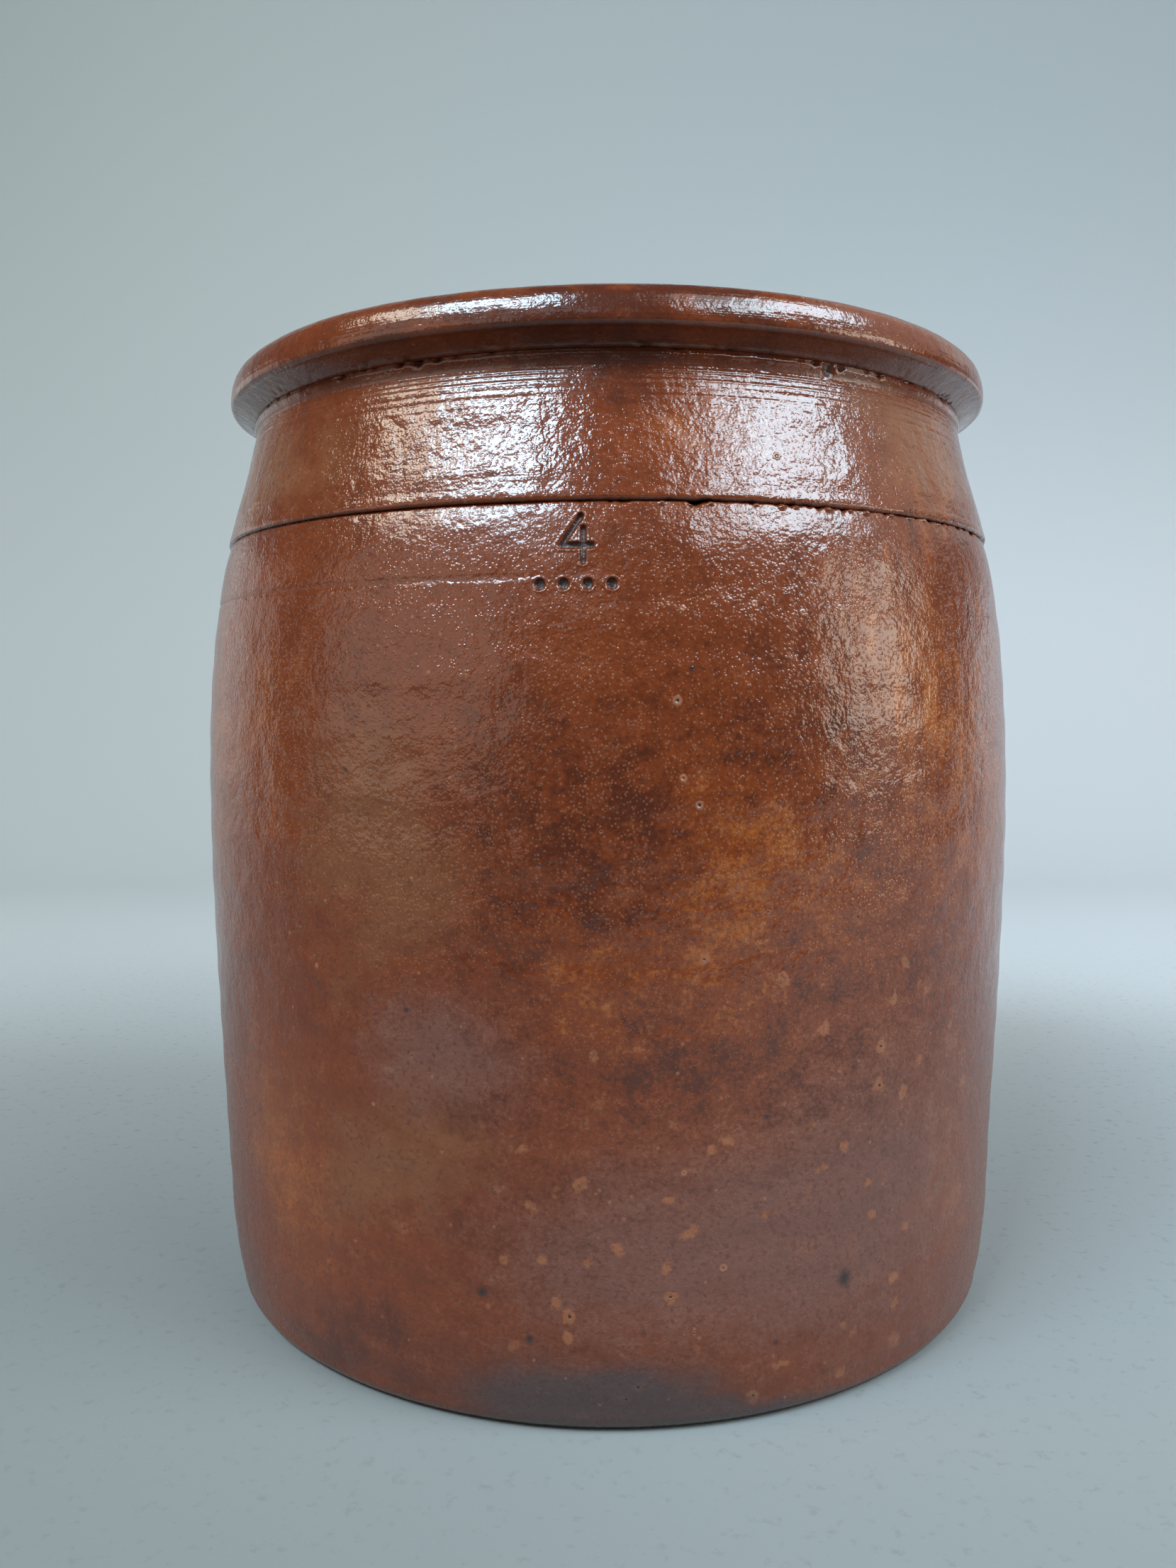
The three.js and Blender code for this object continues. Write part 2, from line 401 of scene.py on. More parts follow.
def tongue(z):
    middle = outer_radius(z) - WALL / 2
    return middle - WALL / 6, middle + WALL / 6


def arc(centre, radius, start, end, count):
    angles = [math.radians(start + (end - start) * i / count) for i in range(count + 1)]
    return [(centre[0] + radius[0] * math.cos(a), centre[1] + radius[1] * math.sin(a)) for a in angles]


foot_edge = STATIONS[0][1] - FOOT_ROUND
skirt = foot_edge - FOOT_LAND
toe = FLOOR_RADIUS + FIT_GAP
corner_top = FLOOR_TOP + CORNER_HEIGHT
tongue_in, tongue_out = tongue(GROOVE_Z)
outside_heights = steps_between(FOOT_ROUND, FINE_FROM, COARSE_STEP)[1:]
outside_heights += steps_between(FINE_FROM, GROOVE_Z, FINE_STEP)[1:]
inside_heights = steps_between(GROOVE_Z, corner_top, INSIDE_STEP)
wall_outline = [(toe, FLANGE_TOP), (skirt, FLANGE_TOP), (skirt, 0)]
wall_outline += arc((foot_edge, FOOT_ROUND), (FOOT_ROUND, FOOT_ROUND), -90, 0, 8)
wall_outline += [(outer_radius(z) - finger_rings(z, *OUTER_RINGS), z) for z in outside_heights]
wall_outline += [(tongue_out, GROOVE_Z), (tongue_out, GROOVE_Z + SHOULDER_TONGUE)]
wall_outline += [(tongue_in, GROOVE_Z + SHOULDER_TONGUE), (tongue_in, GROOVE_Z)]
wall_outline += [(outer_radius(z) - WALL + finger_rings(z, *INNER_RINGS), z) for z in inside_heights]
corner = (outer_radius(corner_top) - WALL - toe, CORNER_HEIGHT)
wall_outline += arc((toe, corner_top), corner, 0, -90, 8)
wall_outline += [(toe, FLANGE_TOP)]
glazed_wall = turned("glazed_wall", wall_outline, WALL_COLUMNS)

# The potter's mark is pressed into the shoulder in front while the clay is still soft: a plain figure for
# the litres, over a tally of dots. The shoulder is also scored on the left, and torn along the groove.
MARK_ANGLE = math.radians(-3.3)
FIGURE_Z = 0.1636
FIGURE_STROKES = [
    ((0.0008, 0.0040), (-0.0027, -0.0012)),
    ((-0.0027, -0.0012), (0.0029, -0.0012)),
    ((0.0013, 0.0018), (0.0013, -0.0040)),
]
STROKE_HALF = 0.00035
TALLY_Z = 0.1556
TALLY = [-0.0066, -0.0022, 0.0022, 0.0066]
DOT_RADIUS = 0.0008
MARK_DEPTH = 0.0008
MARK_EDGE = 0.0004
MARK_BURR = 0.00012
CRUMBS = [6.4, 9.8, 12.1, 17.6, 20.9, 22.8, 27.3, 30.6, 33.2, 37.5, 41.0, 44.2, 48.0]
CRUMB_SIZE = 0.0009
MARK_HALF_WIDTH = 0.011
SCORED_Z = 0.1569
TORN_HEIGHT = 0.0026
BROW_TALL = 0.0050
BROW_DEEP = 0.00038
MARK_BAND = (0.153, 0.1693)
SHOULDER_BAND = (0.152, 0.170)
TORN_SPAN = (-0.12, 1.1)
WALL_WAVER = [(0.00022, 0.07, 3), (0.00009, 0.017, 11), (0.00005, 0.0042, 19)]
GROOVE_BITE = 0.0005
GROOVE_WIDE = 0.0004
GROOVE_RAGGED = 0.0003
TEAR_DROP = 0.0007
TEAR_FADE = 0.0016
CRUMB_BELOW = 0.0004
CRUMB_PROUD = 0.0007
SCORE_WIDE = 0.0006
SCORE_DEEP = 0.00028
SCORE_WAVER = 0.0003

bpy.ops.object.mode_set(mode="EDIT")
bpy.ops.mesh.select_mode(type="FACE")
bpy.ops.mesh.select_all(action="DESELECT")
bpy.ops.object.mode_set(mode="OBJECT")
for face in glazed_wall.data.polygons:
    x, y, z = face.center
    along = math.atan2(x, -y) - MARK_ANGLE
    outside = math.hypot(x, y) > outer_radius(z) - WALL / 2
    beside = abs(along) * BELLY_RADIUS < MARK_HALF_WIDTH
    face.select = outside and beside and MARK_BAND[0] < z < MARK_BAND[1]
bpy.ops.object.mode_set(mode="EDIT")
bpy.ops.mesh.subdivide(number_cuts=3)
bpy.ops.mesh.select_all(action="DESELECT")
bpy.ops.object.mode_set(mode="OBJECT")
for face in glazed_wall.data.polygons:
    x, y, z = face.center
    outside = math.hypot(x, y) > outer_radius(z) - WALL / 4
    in_front = TORN_SPAN[0] < math.atan2(x, -y) < TORN_SPAN[1]
    face.select = outside and in_front and GROOVE_Z - TORN_HEIGHT < z < GROOVE_Z - 1e-5
bpy.ops.object.mode_set(mode="EDIT")
bpy.ops.mesh.subdivide(number_cuts=3)
bpy.ops.object.mode_set(mode="OBJECT")


def from_stroke(s, z, start, end):
    """Distance from a point on the shoulder to one stroke of the figure."""
    run = (end[0] - start[0], end[1] - start[1])
    share = ((s - start[0]) * run[0] + (z - start[1]) * run[1]) / (run[0] ** 2 + run[1] ** 2)
    share = min(max(share, 0), 1)
    return math.hypot(s - start[0] - share * run[0], z - start[1] - share * run[1])


def from_mark(angle, z):
    """Distance from a place on the shoulder to the edge of the mark, less than 0 inside it."""
    s = (angle - MARK_ANGLE) * BELLY_RADIUS
    figure = min(from_stroke(s, z - FIGURE_Z, *stroke) for stroke in FIGURE_STROKES) - STROKE_HALF
    dot = min(math.hypot(s - place, z - TALLY_Z) for place in TALLY) - DOT_RADIUS
    return min(figure, dot)


def lumps(angle, radius, z, size, seed):
    """Smooth noise from -1 to 1 on the turned surface, with lumps about size metres across."""
    at = Vector((radius * math.sin(angle), -radius * math.cos(angle), z)) / size
    return noise.noise(at + Vector((seed, seed, seed)))


def dents(angle, radius, z, layers):
    """How far a hand-made surface falls short of true: layers of lumps, each of depth, size and seed."""
    return sum(depth * (1 + lumps(angle, radius, z, size, seed)) for depth, size, seed in layers)


def ease(value):
    value = min(max(value, 0), 1)
    return value * value * (3 - 2 * value)


def groove_softness(angle):
    """1 on the left, where the groove is wiped smooth, to 0 on the right, where it is torn."""
    return ease(0.45 - math.degrees(angle) / 40) if abs(angle) < 1.9 else 0.4 + 0.3 * math.cos(3 * angle)


def groove_depth(angle):
    """1 in front, where the groove is deepest, down to less than half at the sides and behind."""
    return 1 - 0.55 * ease((abs(math.degrees(angle) + 4) - 12) / 30)


def touch_wall(angle, radius, z):
    """The finished place of a point on the wall, and how hollow it is there."""
    if radius < outer_radius(z) - WALL / 2 or z < 1e-5 or z > GROOVE_Z + 1e-5:
        return radius, z, 0.0
    radius -= dents(angle, radius, z, WALL_WAVER)
    soft = groove_softness(angle)
    torn = (lumps(angle, radius, 0, 0.0015, 29) + 0.7 * lumps(angle, radius, 0, 0.0046, 31)) * (1 - soft)
    below = GROOVE_Z - z
    radius -= BROW_DEEP * max(0, 1 - below / BROW_TALL) ** 1.5
    width = GROOVE_WIDE + GROOVE_RAGGED * max(torn, -0.7)
    bite = ease(1 - below / width)
    radius -= GROOVE_BITE * bite * groove_depth(angle) * (1 - 0.5 * soft)
    # The groove's bite is darkened: pooled glaze and painted shade.
    hollow = bite * (0.9 - 0.75 * soft) * groove_depth(angle)
    if below < TORN_HEIGHT:
        z -= TEAR_DROP * max(torn, 0) * ease(1 - below / TEAR_FADE)
        for azimuth in CRUMBS:
            reach = math.hypot((angle - math.radians(azimuth)) * radius, below - CRUMB_BELOW)
            crumb = ease(1 - reach / (CRUMB_SIZE * (0.8 + 0.3 * math.sin(azimuth))))
            radius += CRUMB_PROUD * crumb
            hollow *= 1 - crumb
    if SHOULDER_BAND[0] < z < SHOULDER_BAND[1]:
        # The pressed mark and the score line are darkened inside: pooled glaze and painted shade.
        mark = from_mark(angle, z)
        pressed = ease(1 - mark / MARK_EDGE)
        burr = ease(1 - abs(mark - 1.3 * MARK_EDGE) / MARK_EDGE)
        radius += MARK_BURR * burr - MARK_DEPTH * pressed
        # The burr round the mark gets a negative hollow, which is painted pale tan: thin glaze on its edge
        # and a painted highlight.
        hollow = max(hollow, 0.85 * pressed) - 0.6 * burr * (1 - pressed)
        fade = ease((-0.10 - angle) / 0.12) * ease((angle + 1.75) / 0.4)
        line = SCORED_Z + SCORE_WAVER * lumps(angle, radius, 0, 0.06, 41)
        score = max(0, 1 - abs(z - line) / SCORE_WIDE)
        radius -= SCORE_DEEP * fade * score
        hollow = max(hollow, 0.5 * fade * score)
    return radius, z, hollow


def hand_finish(piece, touch):
    """Moves every vertex as touch says, and keeps how hollow each place is, which darkens the glaze there,
    partly as pooled glaze and partly as painted shade.
    """
    hollow = piece.data.attributes.new("hollow", "FLOAT", "POINT")
    for vertex, mark in zip(piece.data.vertices, hollow.data):
        x, y, z = vertex.co
        angle = math.atan2(x, -y)
        radius, z, mark.value = touch(angle, math.hypot(x, y), z)
        vertex.co = (radius * math.sin(angle), -radius * math.cos(angle), z)


hand_finish(glazed_wall, touch_wall)


DARK_BROWN = (0.074, 0.0155, 0.0062, 1)
RED_BROWN = (0.164, 0.0315, 0.0065, 1)
ORANGE = (0.315, 0.082, 0.0135, 1)
OLIVE_BROWN = (0.200, 0.074, 0.029, 1)
PALE_TAN_DUST_AND_HIGHLIGHT = (0.190, 0.090, 0.066, 1)
MAUVE_BROWN = (0.160, 0.070, 0.053, 1)
PURPLE_GREY = (0.056, 0.040, 0.040, 1)
POOLED_GLAZE_AND_SHADE = (0.030, 0.0115, 0.0075, 1)
IRON = (0.014, 0.012, 0.014, 1)
SALT_SPECK = (0.38, 0.150, 0.075, 1)
BURST_RING = (0.300, 0.100, 0.040, 1)
GLAZE_IOR = 1.55
HAZE_WEIGHT = 0.10
HAZE_ROUGHNESS = 0.40
PEBBLE_DEPTH = 0.00022
PATCH_WANDER = 0.05

# Patches are given by azimuth in degrees, height, width and tallness, and spots by azimuth, height
# and size. Most are the glaze's own colour; some paint shade, a sheen and reflections, as said at each list.
# Orange flashes of the kiln. The one at 40 degrees and 0.138 is also a painted highlight where a light on the
# right is mirrored.
FLASHES = [
    (-44, 0.046, 0.044, 0.054), (20, 0.100, 0.030, 0.026), (40, 0.138, 0.026, 0.034),
    (50, 0.112, 0.016, 0.034), (-44, 0.130, 0.018, 0.044), (47, 0.045, 0.022, 0.036),
    (12, 0.182, 0.014, 0.010), (56, 0.180, 0.034, 0.028), (60, 0.120, 0.026, 0.050),
    (-60, 0.120, 0.026, 0.050), (-56, 0.184, 0.030, 0.020), (0, 0.080, 0.018, 0.020),
    (150, 0.080, 0.060, 0.060), (-140, 0.120, 0.050, 0.045),
]
# Darker patches: those in front at 0.195 to 0.206 darken the middle of the rim's face and the top of the neck
# under it, as painted shade. The others darken the glaze at the foot and on the belly.
DARK_GLAZE_AND_SHADE = [
    (0, 0.204, 0.060, 0.010), (-3, 0.205, 0.050, 0.010), (-32, 0.010, 0.034, 0.016),
    (-6, 0.112, 0.024, 0.040), (6, 0.070, 0.030, 0.020), (0, 0.195, 0.036, 0.008),
    (2, 0.206, 0.050, 0.008),
]
MAUVES = [
    (34, 0.040, 0.050, 0.052), (-19, 0.070, 0.028, 0.020), (6, 0.034, 0.056, 0.034),
    (200, 0.050, 0.06, 0.04),
]
# Olive patches: the glaze's olive tone, and also a painted reflection of the light on the left of the belly
# and at the sides of the neck.
OLIVE_GLAZE_AND_REFLECTION = [
    (-27, 0.108, 0.032, 0.050), (-26, 0.050, 0.030, 0.024), (-50, 0.184, 0.040, 0.024),
    (50, 0.184, 0.040, 0.024), (110, 0.10, 0.05, 0.05),
]
# Purple-grey patches at the foot: a painted sheen low in front, and along the foot's edge on the right a thin
# band of painted shade.
FOOT_SHEEN_AND_SHADE = [(-8, 0.007, 0.026, 0.014), (4, 0.006, 0.026, 0.013), (16, 0.001, 0.040, 0.006)]
IRON_SPOTS = [
    (-30.9, 0.1227, 0.0010), (0.9, 0.1278, 0.0007), (9.2, 0.1409, 0.0010), (18.1, 0.0596, 0.0012),
    (29.3, 0.0257, 0.0026), (-9, 0.0190, 0.0013), (20, 0.0160, 0.0010), (-14.5, 0.0270, 0.0016),
    (-23, 0.0790, 0.0010),
]
GLAZE_PITS = [
    (7.6, 0.1352, 0.0012), (8.2, 0.1217, 0.0010), (8.3, 0.1514, 0.0008), (16.5, 0.1523, 0.0008),
    (27.2, 0.1303, 0.0008), (9.9, 0.1169, 0.0010), (22.4, 0.1509, 0.0008), (27.4, 0.1520, 0.0008),
    (8.5, 0.0505, 0.0008), (-18.3, 0.1882, 0.0008), (-22.0, 0.1774, 0.0007), (20.9, 0.1794, 0.0009),
    (13.2, 0.0320, 0.0010), (-36, 0.0850, 0.0007), (-28, 0.0600, 0.0007),
]


def salt_glaze(name, combing, sheen, pebbles, salting):
    """Salt glaze over iron-bearing clay: how far tool lines show, how rough, pebbled and specked it is. Its
    colour also carries painted shade, sheen, reflections and highlights.
    """
    material, shader, wire = new_finish(name)
    shader.inputs["IOR"].default_value = GLAZE_IOR
    shader.inputs["Coat Weight"].default_value = HAZE_WEIGHT
    shader.inputs["Coat Roughness"].default_value = HAZE_ROUGHNESS
    place = wire.place()
    height = wire.node("SeparateXYZ", None, {0: place}, 2)
    swirl = {"Vector": place, "Scale": 40.0, "Detail": 4.0, "Roughness": 0.6}
    drift = wire.node("TexNoise", None, swirl, "Color")
    wander = wire.vector("SCALE", wire.vector("SUBTRACT", drift, (0.5, 0.5, 0.5)))
    wander.socket.node.inputs["Scale"].default_value = PATCH_WANDER
    warped = wire.vector("ADD", place, wander)

    def nearness(spot, azimuth, z, width, tall, core):
        """1 at a place on the outside, fading to 0 at width and tall from it, with a full core."""
        angle = math.radians(azimuth)
        radius = outer_radius(z)
        centre = (radius * math.sin(angle), -radius * math.cos(angle), z)
        apart = wire.vector("SUBTRACT", spot, centre)
        apart = wire.vector("MULTIPLY", apart, (1 / width, 1 / width, 1 / tall))
        return wire.vector("LENGTH", apart, output="Value").step(1.0, core)

    def patches(places, spot=warped):
        total = 0.0
        for azimuth, z, width, tall in places:
            total = nearness(spot, azimuth, z, width, tall, 0.0) + total
        return total

    def spots(places, share, core):
        total = 0.0
        for azimuth, z, size in places:
            total = nearness(place, azimuth, z, size * share, size * share, core) + total
        return total

    def dots(scale, reach, chance, spot=place):
        """Round dots in a loose grid: how far each reaches, in cells, and the chance that a cell has one."""
        cells = {"Vector": spot, "Scale": scale, "Randomness": 1.0}
        away = wire.node("TexVoronoi", None, cells, "Distance")
        draw = wire.node("SeparateColor", None, {0: wire.node("TexVoronoi", None, cells, "Color")}, 1)
        return away.step(reach, reach * 0.35) * draw.step(chance + 0.02, chance - 0.02)

    cloud = wire.grain(0.030, 4.0, 0.55) - 0.5
    mottle = wire.grain(0.0062, 4.0, 0.6, wire.vector("MULTIPLY", place, (1, 1, 1.4))) - 0.5
    runs = wire.grain(0.0030, 3.0, 0.6, wire.vector("MULTIPLY", place, (1, 1, 0.14))) - 0.5
    fine = wire.grain(0.0009, 2.0, 0.6) - 0.5
    low = height.step(0.100, 0.045)

    streaky = nearness(place, 44, 0.150, 0.050, 0.045, 0.3)
    salted = nearness(place, 16, 0.124, 0.112, 0.088, 0.2)
    contrast = 0.42 + nearness(place, 18, 0.090, 0.085, 0.090, 0.25) * 0.6
    heat = 0.47 + (mottle * 2.0 + fine * 1.3) * contrast + cloud * 0.8
    # Orange flashes lighten the glaze, the one at 40 degrees and 0.138 also as a painted highlight. The
    # darker patches add painted shade on the rim and under it.
    heat = heat + patches(FLASHES) * 0.4 - patches(DARK_GLAZE_AND_SHADE) * 0.30
    heat = heat + runs * (0.25 + streaky * 1.6)
    colour = heat.step(-0.10, 0.62).mix(DARK_BROWN, RED_BROWN)
    colour = heat.step(0.55, 1.30).mix(colour, ORANGE)
    astray = wire.vector("ADD", place, wire.vector("MULTIPLY", wander, (0.25, 0.25, 0.25)))
    # Olive tone, partly a painted reflection on the left of the belly and at the neck's sides.
    colour = ((patches(OLIVE_GLAZE_AND_REFLECTION) + mottle * 0.8).step(0.1, 1.1) * 0.65).mix(colour, OLIVE_BROWN)
    mauve = patches(MAUVES, astray) + mottle * 1.2 + fine * 1.2
    colour = (mauve.step(0.0, 1.2) * 0.75).mix(colour, MAUVE_BROWN)
    popped = height.step(0.130, 0.085) * nearness(place, 16, 0.048, 0.095, 0.085, 0.4)
    burst = dots(150, 0.30, 0.6, astray) * popped
    colour = ((burst + mottle * 1.6 + fine * 1.0).step(0.15, 0.85) * popped * 0.75).mix(colour, BURST_RING)
    # Purple-grey at the foot is painted sheen in front and painted shade along the foot's edge.
    grey = patches(FOOT_SHEEN_AND_SHADE, astray)
    colour = ((grey + mottle * 0.3).step(0.0, 0.9) * 0.85).mix(colour, PURPLE_GREY)
    freckle = (wire.grain(0.0010, 2.0) + mottle * 0.3).step(0.55, 0.68) * 0.42
    colour = freckle.mix(colour, DARK_BROWN)

    # Pale dots: salt specks. In the salted middle of the belly they also stand in for glints, a painted
    # highlight on the pimples.
    salt = dots(1500, 0.40, 0.65) * (0.25 + salted * 0.75) * salting
    stray = dots(420, 0.20, 0.10)
    colour = (salt * 0.34).mix(colour, SALT_SPECK)
    colour = (stray * 0.45).mix(colour, SALT_SPECK)
    pit = spots(GLAZE_PITS, 0.6, 0.4) + dots(150, 0.07, 0.55, astray) * popped + dots(210, 0.055, 0.14)
    rim = spots(GLAZE_PITS, 1.0, 0.6) + dots(210, 0.10, 0.14)
    colour = (rim * 0.6).mix(colour, SALT_SPECK)
    colour = (spots(IRON_SPOTS, 1.0, 0.15) * 0.9).mix(colour, IRON)
    colour = (pit.step(0.1, 0.8) * 0.95).mix(colour, IRON)
    hollow = wire.node("Attribute", {"attribute_name": "hollow"}, None, "Fac")
    # Hollows take the dark pooled colour: pooled glaze, together with painted shade in the groove, marks and
    # crease, and only painted shade in the rim's cove and the band under the sill.
    colour = (hollow.step(0.2, 0.95) * 0.85).mix(colour, POOLED_GLAZE_AND_SHADE)
    # Negative hollow is painted pale tan: dust on the worn sill under the rim, and on the mark's burr a
    # painted highlight.
    colour = (hollow.step(-0.1, -0.9) * 0.75).mix(colour, PALE_TAN_DUST_AND_HIGHLIGHT)
    wire_up(shader, colour, "Base Color")

    worn = hollow.step(0.0, -1.0) * 0.3 + hollow.step(0.1, 0.6) * 0.25
    wire_up(shader, sheen + low * 0.10 + mottle * 0.14 + fine * 0.08 + worn, "Roughness")

    pimples = dots(1500, 0.46, 1.1) * (0.7 + mottle * 1.6) * pebbles
    peel = wire.grain(0.0008, 1.0) * 0.44 + wire.grain(0.0018, 1.0) * 0.60 + wire.grain(0.0045, 1.0) * 1.2
    peel = peel + wire.grain(0.0100, 1.0) * 1.8
    combed = wire.grain(0.0010, 2.0, 0.6, wire.vector("MULTIPLY", place, (0.02, 0.02, 1)))
    ribbed = height.step(0.184, 0.192) + height.step(0.179, 0.172)
    smoothed = (1 - low * 0.3) * (1 - height.step(0.186, 0.193) * 0.35)
    relief = (peel + pimples * 0.22) * smoothed + rim * 0.25 - pit * 0.9 + combed * ribbed * combing
    bump = wire.node("Bump", None, {"Strength": 1.0, "Distance": PEBBLE_DEPTH, "Height": relief})
    wire_up(shader, bump, "Normal")
    return material


glazed_wall.data.materials.append(salt_glaze("salt_glazed_wall", 0.03, 0.17, 1.0, 1.0))
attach(glazed_wall, "root")
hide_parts("barrel_wall")


# The neck: a short collar that is set over the wall's edge and drawn in. A rib held against it on the wheel
# left fine lines near the top, and its torn lower edge makes the shoulder groove with the wall.
NECK_COLUMNS = 896
NECK_RADIUS = STATIONS[-1][1]
SILL_FOOT = CREASE_Z - 0.0032
SILL_RIDGE = CREASE_Z - 0.0011
SILL_STEP = 0.00055
RIM_TONGUE = 0.004
LIP_TALL = 0.0009
LIP_DEEP = 0.0009
DIP_Z = 0.0026
DIP_DEEP = 0.00009
DIP_RUNS = (0.0014, 0.0042)
SWELL_Z = 0.1920
SWELL = 0.00020
SWELL_RUNS = (0.010, 0.0045)
NECK_WAVER = [(0.00010, 0.05, 5), (0.00005, 0.006, 13)]
NECK_PEBBLE = [(0.000035, 0.0019, 17)]
LINES_FROM = 0.187
NECK_STEP = 0.00045
LINE_STEP = 0.00023
CREASE_BAND = 0.0034
CHIP_DEEP = 0.0005
PIT_DEEP = 0.0009
TOOL_HALF = 0.00035
TOOL_LINES = [
    (0.1947, 0.00012), (0.1938, 0.00009), (0.1928, 0.00012), (0.1913, 0.00006), (0.1899, 0.00008),
    (0.1881, 0.00004), (0.1752, 0.00004), (0.1742, 0.00003),
]
CREASE_PITS = [
    (30.3, 0.1972, 0.0015), (32.4, 0.1978, 0.0009), (28.2, 0.1980, 0.0008), (-24.8, 0.1982, 0.0013),
    (-27.5, 0.1983, 0.0009), (-21.8, 0.1982, 0.0008), (39.8, 0.1981, 0.0009), (-38.0, 0.1982, 0.0010),
]


def neck_radius(z):
    rise = (z - SILL_FOOT) / (SILL_RIDGE - SILL_FOOT)
    sill = min(max(rise, 0), 1) ** 1.3 - 0.5 * ease((z - SILL_RIDGE) / (CREASE_Z - SILL_RIDGE))
    lines = sum(deep * max(0, 1 - abs(z - at) / TOOL_HALF) for at, deep in TOOL_LINES)
    above = z - GROOVE_Z
    dip = ease(1 - abs(above - DIP_Z) / DIP_RUNS[above >= DIP_Z])
    swell = ease(1 - abs(z - SWELL_Z) / SWELL_RUNS[z >= SWELL_Z])
    return outer_radius(z) + SILL_STEP * sill + SWELL * swell - lines - DIP_DEEP * dip


slot_in, slot_out = tongue_in - FIT_GAP, tongue_out + FIT_GAP
slot_top = GROOVE_Z + SHOULDER_TONGUE + FIT_GAP
rim_in, rim_out = tongue(CREASE_Z)
inside_neck = [(outer_radius(z) - WALL, z) for z in steps_between(CREASE_Z, GROOVE_Z, 0.0035)]
neck_outline = [inside_neck[-1], (slot_in, GROOVE_Z), (slot_in, slot_top)]
neck_outline += [(slot_out, slot_top), (slot_out, GROOVE_Z)]
neck_heights = steps_between(GROOVE_Z, LINES_FROM, NECK_STEP)
neck_heights += steps_between(LINES_FROM, CREASE_Z, LINE_STEP)[1:]
neck_outline += [(neck_radius(z), z) for z in neck_heights]
neck_outline += [(rim_out, CREASE_Z), (rim_out, CREASE_Z + RIM_TONGUE)]
neck_outline += [(rim_in, CREASE_Z + RIM_TONGUE), (rim_in, CREASE_Z)]
neck_outline += inside_neck
glazed_neck = turned("glazed_neck", neck_outline, NECK_COLUMNS)


def touch_neck(angle, radius, z):
    """The finished place of a point on the neck: the lip over the groove, the crumbs under the rim."""
    if radius < outer_radius(z) - WALL / 4 or z > CREASE_Z + 1e-5:
        return radius, z, 0.0
    radius -= dents(angle, radius, z, NECK_WAVER)
    radius -= dents(angle, radius, z, NECK_PEBBLE)
    soft = groove_softness(angle)
    above = z - GROOVE_Z
    torn = (lumps(angle, radius, 0, 0.0015, 37) + 0.7 * lumps(angle, radius, 0, 0.0040, 41)) * (1 - soft)
    tall = LIP_TALL * (1 + 0.15 * soft + 0.25 * max(torn, -0.8))
    curl = min(max(1 - above / tall, 0), 1)
    radius -= LIP_DEEP * (1 - math.sqrt(1 - curl * curl)) * groove_depth(angle) * (1 - 0.55 * soft)
    z += 0.0004 * max(-torn, 0) * ease(1 - above / 0.0016)
    # The lip over the groove is darkened underneath: pooled glaze and painted shade.
    hollow = ease(1 - above / 0.0007) * (0.9 - 0.7 * soft) * groove_depth(angle)
    under = CREASE_Z - z
    if under < CREASE_BAND:
        crumb = lumps(angle, radius, z, 0.0014, 53) + 0.7 * lumps(angle, radius, 0, 0.011, 59) - 0.35
        chip = ease(crumb / 0.5) * ease(1 - under / 0.0014)
        radius -= CHIP_DEEP * chip
        worn = ease(1 - abs(under - 0.0008) / 0.0007) * (1 - chip)
        # Under the rim the chips and the crease are darkened as pooled glaze and painted shade, and the worn
        # sill is paler.
        hollow = max(chip, 0.4 * ease(1 - under / 0.0004)) - worn
        # A band below the sill is darkened as painted shade.
        hollow += 0.5 * ease(1 - abs(under - 0.0024) / 0.0010)
        for azimuth, pit_z, size in CREASE_PITS:
            reach = math.hypot((angle - math.radians(azimuth)) * radius, z - pit_z)
            pit = ease(1.2 - reach / size)
            radius -= PIT_DEEP * pit
            hollow = max(hollow, pit)
    return radius, z, hollow


hand_finish(glazed_neck, touch_neck)
glazed_neck.data.materials.append(salt_glaze("salt_glazed_neck", 0.40, 0.13, 0.80, 0.4))
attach(glazed_neck, "root")
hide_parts("neck_collar")


# The rim: a roll of clay folded over the neck's edge and smoothed with a wet leather. Its face bows outwards
# and leans in towards the top, its narrow lower edge overhangs a cove, and the crease still holds crumbs.
RIM_COLUMNS = 896
RIM_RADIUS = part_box("rim_roll")[1][0]
MOUTH_RADIUS = NECK_RADIUS - WALL
EDGE_ROUND = 0.0013
FACE_FOOT = 0.2023
FACE_BELLY = 0.2028
FACE_TOP = 0.2068
FACE_BOW = 48.0
CROWN_WIDE = 0.0042
CROWN_TALL = 0.0039
CREASE_STEP = 0.0006
COVE_STEPS = 11
COVE_BEND = 0.75
RIM_WAVER = [(0.00014, 0.030, 7), (0.00007, 0.008, 23), (0.00003, 0.0022, 37)]
CROWN_WAVER = 0.00016
CROWN_DENTS = [(0.00006, 0.006, 47)]
COVE_BAND = 0.0026
COVE_CHIP = 0.0006


def face_radius(z):
    return RIM_RADIUS - FACE_BOW * (z - FACE_BELLY) ** 2


slot_in, slot_out = rim_in - FIT_GAP, rim_out + FIT_GAP
slot_top = CREASE_Z + RIM_TONGUE + FIT_GAP
crease = NECK_RADIUS + CREASE_STEP
cove_out = face_radius(FACE_FOOT) - EDGE_ROUND
cove_top = FACE_FOOT - EDGE_ROUND
lean = 2 * FACE_BOW * (FACE_TOP - FACE_BELLY)
turn = math.atan(CROWN_TALL / CROWN_WIDE * lean)
crown_out = face_radius(FACE_TOP) - CROWN_WIDE * math.cos(turn)
crown_in = MOUTH_RADIUS + CROWN_WIDE
crown_z = FACE_TOP - CROWN_TALL * math.sin(turn)
rim_outline = [(MOUTH_RADIUS, CREASE_Z), (slot_in, CREASE_Z), (slot_in, slot_top), (slot_out, slot_top)]
rim_outline += [(slot_out, CREASE_Z), (crease, CREASE_Z)]
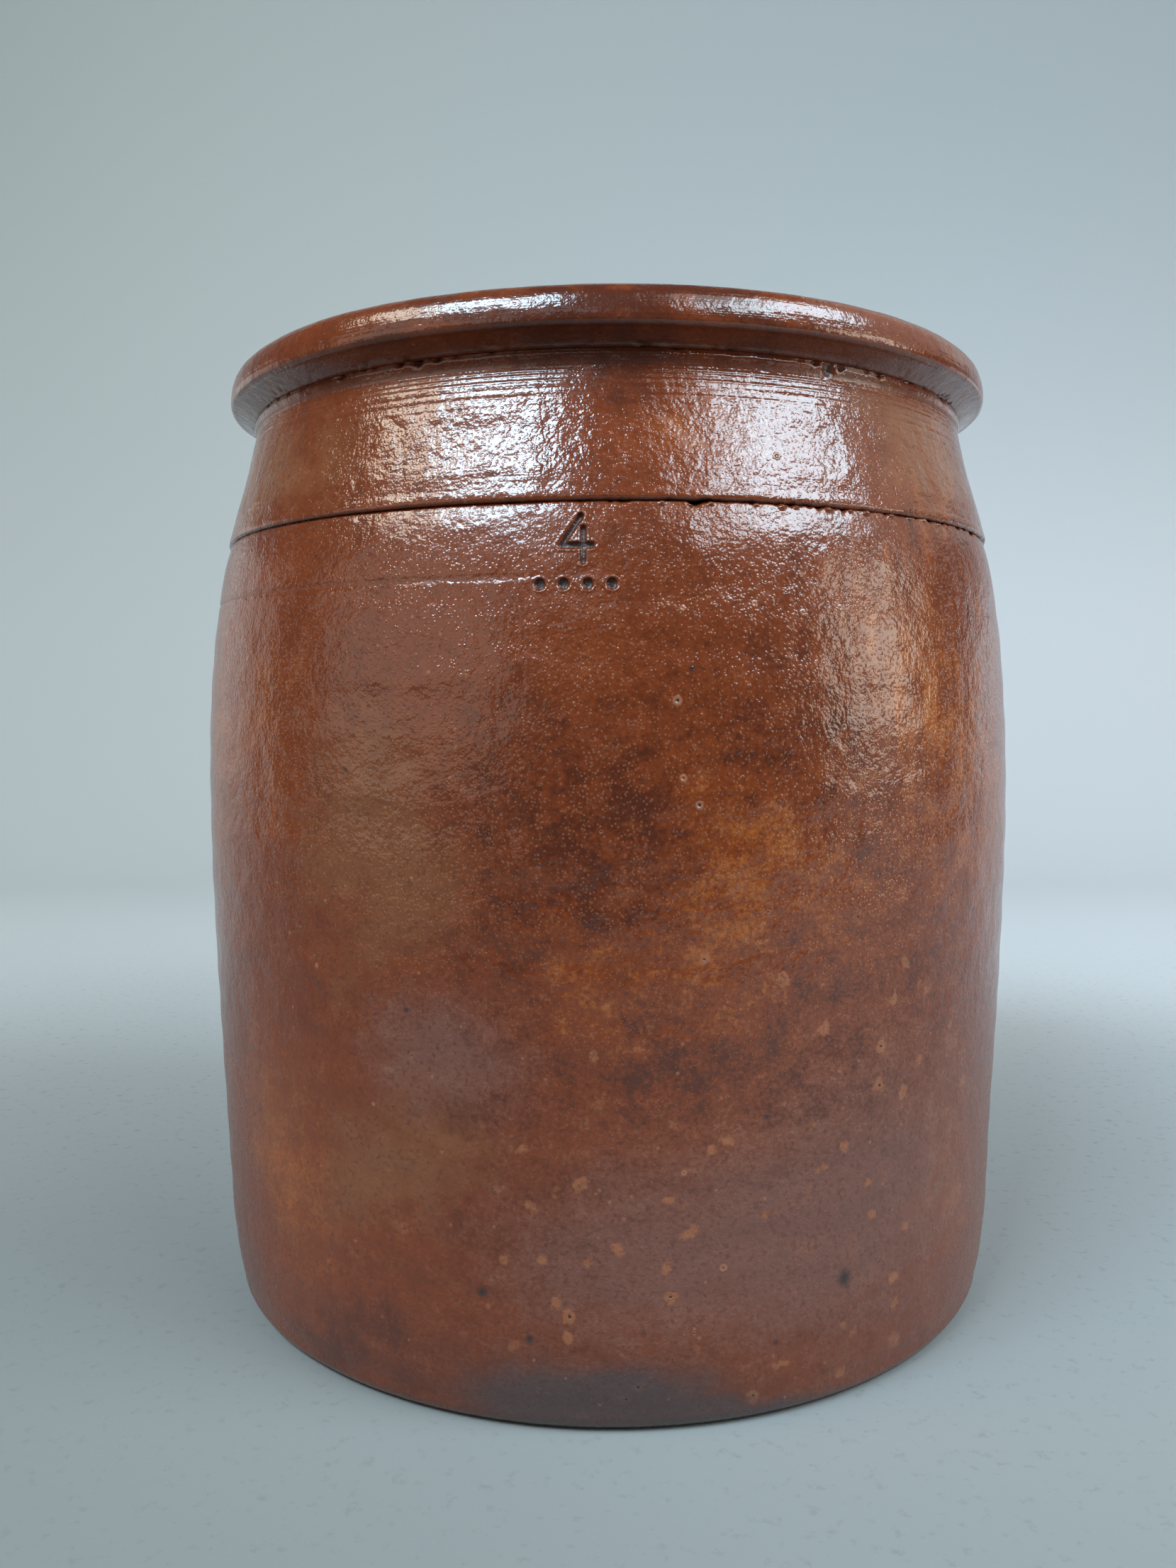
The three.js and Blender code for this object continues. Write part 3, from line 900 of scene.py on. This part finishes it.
for i in range(1, COVE_STEPS):
    t = i / COVE_STEPS
    cove_z = CREASE_Z + (cove_top - CREASE_Z) * t ** COVE_BEND
    rim_outline.append((crease + (cove_out - crease) * t, cove_z))
rim_outline += arc((cove_out, FACE_FOOT), (EDGE_ROUND, EDGE_ROUND), -90, 0, 6)
rim_outline += [(face_radius(z), z) for z in steps_between(FACE_FOOT, FACE_TOP, 0.00035)[1:]]
rim_outline += arc((crown_out, crown_z), (CROWN_WIDE, CROWN_TALL), math.degrees(turn), 90, 12)[1:]
rim_outline += [(r, crown_z + CROWN_TALL) for r in steps_between(crown_out, crown_in, 0.0013)[1:]]
rim_outline += arc((crown_in, crown_z), (CROWN_WIDE, CROWN_TALL), 90, 180, 12)[1:]
rim_outline += [(MOUTH_RADIUS, z) for z in steps_between(crown_z, CREASE_Z, 0.0012)[1:]]
glazed_rim = turned("glazed_rim", rim_outline, RIM_COLUMNS)


def touch_rim(angle, radius, z):
    """The finished place of a point on the rim: a hand-rolled waver, and pits along the crease."""
    seat = z < CREASE_Z + 1e-5
    if seat and radius < crease - 1e-5 or slot_in - 1e-5 < radius < slot_out + 1e-5 and z < slot_top + 1e-5:
        return radius, z, 0.0
    toward = 1 if radius > (RIM_RADIUS + MOUTH_RADIUS) / 2 else -1
    radius -= toward * dents(angle, radius, z, RIM_WAVER)
    rise = ease((z - crown_z) / 0.003)
    sag = CROWN_WAVER * (1 + lumps(angle, radius, 0, 0.035, 43)) + dents(angle, radius, z, CROWN_DENTS)
    z -= rise * sag
    hollow = 0.0
    above = z - CREASE_Z
    if toward > 0 and above < COVE_BAND:
        crumb = lumps(angle, radius, z, 0.0015, 61) + 0.7 * lumps(angle, radius, 0, 0.011, 59) - 0.35
        chip = ease(crumb / 0.5) * ease(1 - above / 0.0018)
        radius -= COVE_CHIP * chip
        # The cove under the rim is darkened as painted shade, and its chips darker still.
        hollow = max(chip, 0.05 + 0.25 * ease(1 - above / 0.0024))
    return radius, z, hollow


hand_finish(glazed_rim, touch_rim)
glazed_rim.data.materials.append(salt_glaze("salt_glazed_rim", 0.45, 0.15, 0.70, 0.4))
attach(glazed_rim, "root")
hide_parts("rim_roll")
